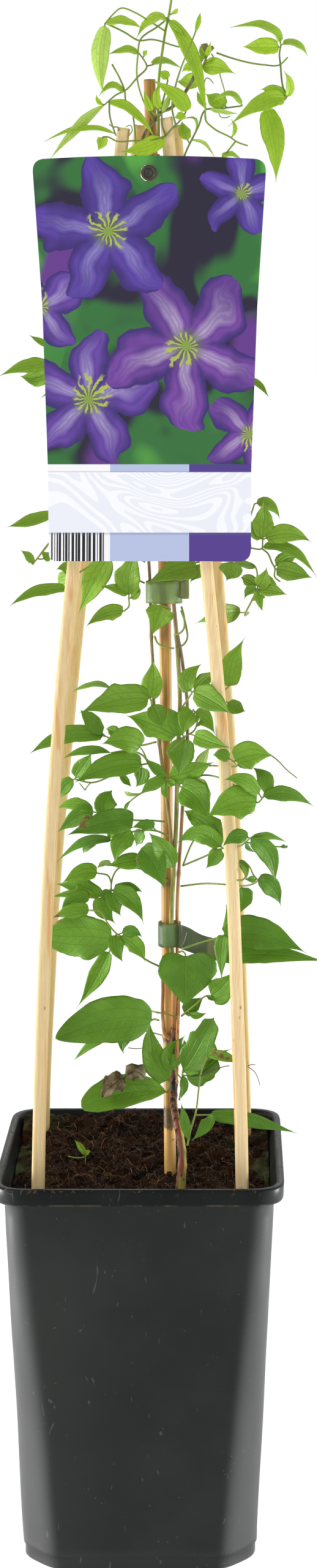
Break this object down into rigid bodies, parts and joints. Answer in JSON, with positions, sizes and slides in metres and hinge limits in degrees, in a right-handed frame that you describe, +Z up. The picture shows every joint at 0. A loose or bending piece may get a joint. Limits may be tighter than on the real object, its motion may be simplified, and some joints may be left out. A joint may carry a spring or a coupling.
{
  "type": "potted climbing plant",
  "caption": "Young clematis in a square nursery pot, twining up a wigwam of split canes tied round a centre cane, with leafy sprays and a leaning picture label.",
  "frame": {"origin": "centre of the pot's underside, on the surface it stands on", "axes": "+Z up along the canes, -Y towards the front, where the label hangs, +X to the right seen from the front"},
  "size_m": [0.1708, 0.15, 0.852],
  "materials": {
    "pot_plastic": "satin",
    "peat": "matte",
    "split_cane": "matte",
    "cane": "satin",
    "bark": "matte",
    "tape": "satin",
    "label_card": "gloss",
    "peg_plastic": "satin",
    "dry_leaf": "matte",
    "young_leaf": "satin",
    "leaf": "satin"
  },
  "bodies": {
    "root": {"pot": "pot_plastic", "stick_front_left": "split_cane", "stick_front_right": "split_cane", "stick_back_left": "split_cane", "stick_back_right": "split_cane", "centre_cane": "cane", "woody_stems": "bark", "soil": "peat", "tie_lower": "tape", "tie_upper": "tape", "tie_top": "tape", "label": "label_card", "label_peg": "peg_plastic", "leading_shoot": "young_leaf", "side_shoot_top": "young_leaf", "spray_top_front": "young_leaf", "spray_crown_right": "young_leaf", "spray_top_right": "young_leaf", "spray_top_mid": "young_leaf", "spray_label_left_top": "leaf", "spray_label_left_low": "leaf", "spray_label_right": "leaf", "spray_right_low_1": "leaf", "spray_right_low_2": "leaf", "spray_centre": "leaf", "spray_centre_left": "leaf", "spray_left_high": "leaf", "spray_centre_low": "leaf", "spray_mid_left_1": "leaf", "spray_mid_left_2": "leaf", "spray_mid_left_3": "leaf", "spray_centre_fan": "leaf", "spray_mid_left_4": "leaf", "spray_mid_left_5": "leaf", "spray_mid_front": "leaf", "spray_low_left_1": "leaf", "spray_low_left_2": "leaf", "spray_low_left_3": "leaf", "spray_low_left_4": "leaf", "spray_mid_right_1": "leaf", "spray_mid_right_2": "leaf", "spray_mid_right_3": "leaf", "spray_mid_right_4": "leaf", "spray_mid_right_5": "leaf", "spray_mid_right_6": "leaf", "spray_low_right_1": "leaf", "spray_low_right_2": "leaf", "spray_low_right_3": "leaf", "leaf_heart": "leaf", "spray_base_right": "leaf", "side_shoot_low": "leaf", "spray_back_left_high": "leaf", "spray_back_right_high": "leaf", "spray_back_mid": "leaf", "spray_back_low": "leaf", "dead_leaf": "dry_leaf", "seedling": "leaf"}
  },
  "joints": []
}
